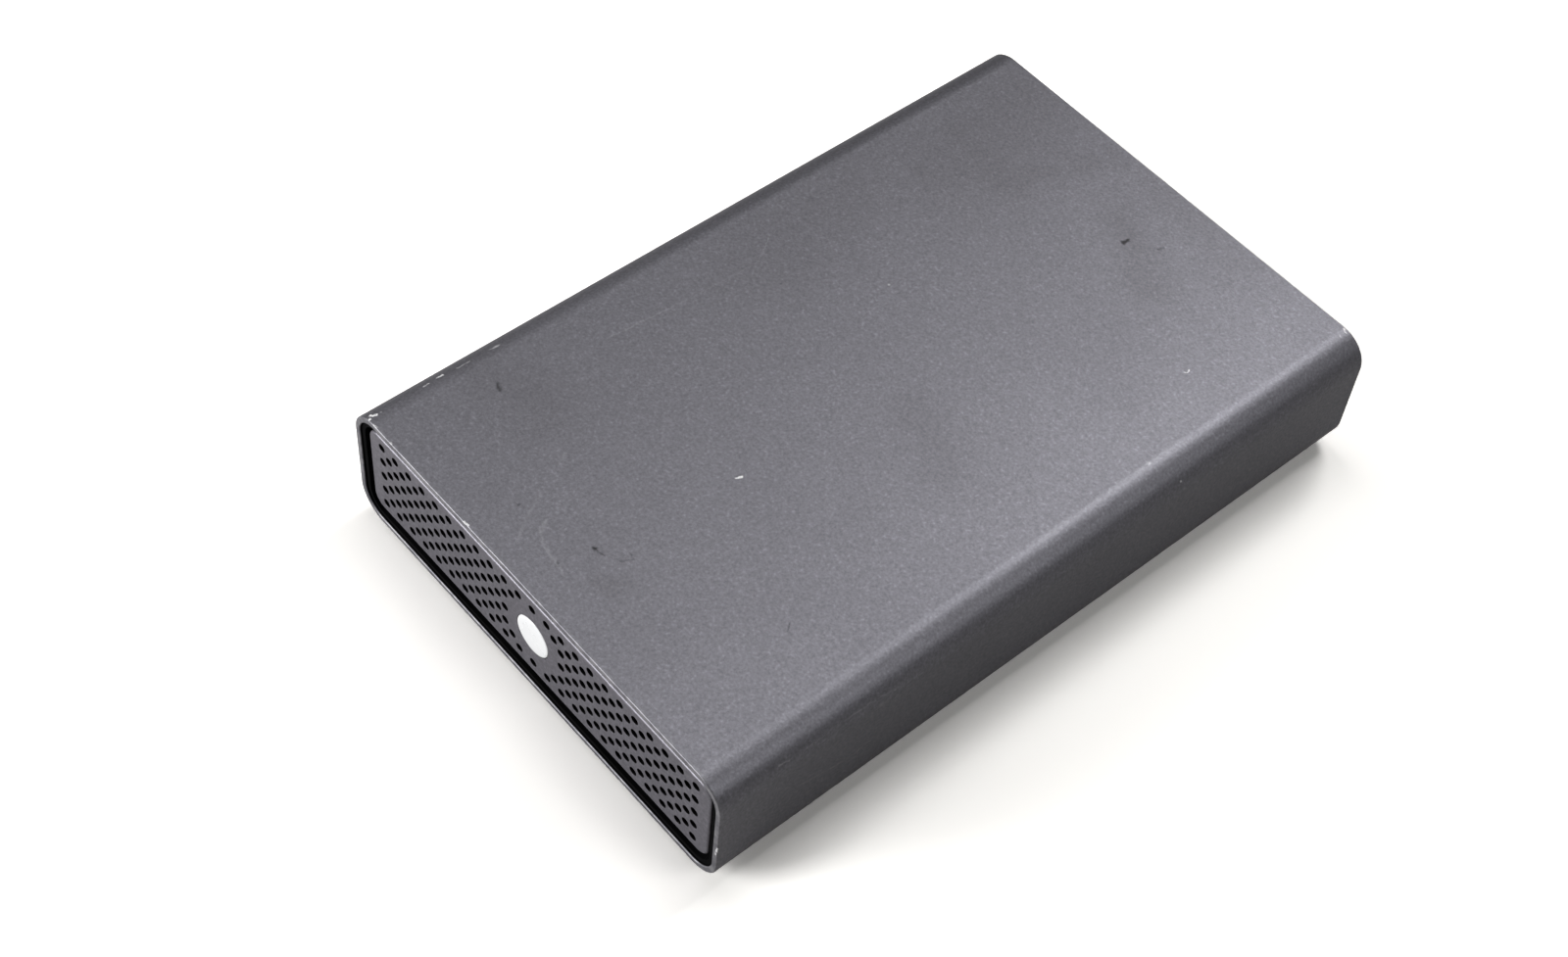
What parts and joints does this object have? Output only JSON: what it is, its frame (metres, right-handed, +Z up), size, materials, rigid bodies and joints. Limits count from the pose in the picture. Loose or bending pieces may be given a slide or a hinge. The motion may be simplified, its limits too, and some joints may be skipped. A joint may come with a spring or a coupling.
{
  "type": "desktop external hard drive",
  "caption": "Flat desktop hard drive in a rounded anodised aluminium sleeve, with a perforated front grille round a status light and rear ports with a push power button.",
  "frame": {"origin": "on the table under the middle of the sleeve, at the bottom of the feet", "axes": "+X to the right seen from the front, +Y from the front grille to the rear ports, +Z up"},
  "size_m": [0.129, 0.197, 0.0376],
  "materials": {
    "anodised_grey": "bead-blasted and anodised, satin",
    "black_plastic": "matte",
    "white_lens": "gloss",
    "button_plastic": "matte",
    "circuit_board": "satin",
    "lamp": "gloss",
    "cable_film": "satin",
    "cast_aluminium": "cast",
    "plated_steel": "satin",
    "rubber": "matte",
    "contact_metal": "gloss"
  },
  "bodies": {
    "housing": {"sleeve": "anodised_grey", "front_panel": "anodised_grey", "rear_panel": "anodised_grey", "front_bezel": "black_plastic", "rear_bezel": "black_plastic", "dc_jack": "black_plastic", "power_switch": "black_plastic", "sata_socket": "black_plastic", "sata_plug": "black_plastic", "usb_tongue": "black_plastic", "status_lens": "white_lens", "status_board": "circuit_board", "bridge_board": "circuit_board", "drive_board": "circuit_board", "status_lamp": "lamp", "status_ribbon": "cable_film", "drive_base": "cast_aluminium", "drive_cover": "plated_steel", "drive_tray": "plated_steel", "tray_standoffs": "plated_steel", "tray_screws": "plated_steel", "drive_screws": "plated_steel", "lock_bracket": "plated_steel", "usb_shell": "plated_steel", "feet": "rubber", "grommets": "rubber", "dc_jack_pin": "contact_metal"},
    "button": {"power_button": "button_plastic", "switch_plunger": "button_plastic"}
  },
  "joints": [
    {"name": "power_button_press", "type": "slide", "parent": "housing", "child": "button", "axis": [0, -1, 0], "range_m": [0, 0.0008], "stiffness_N_per_m": 2000}
  ]
}
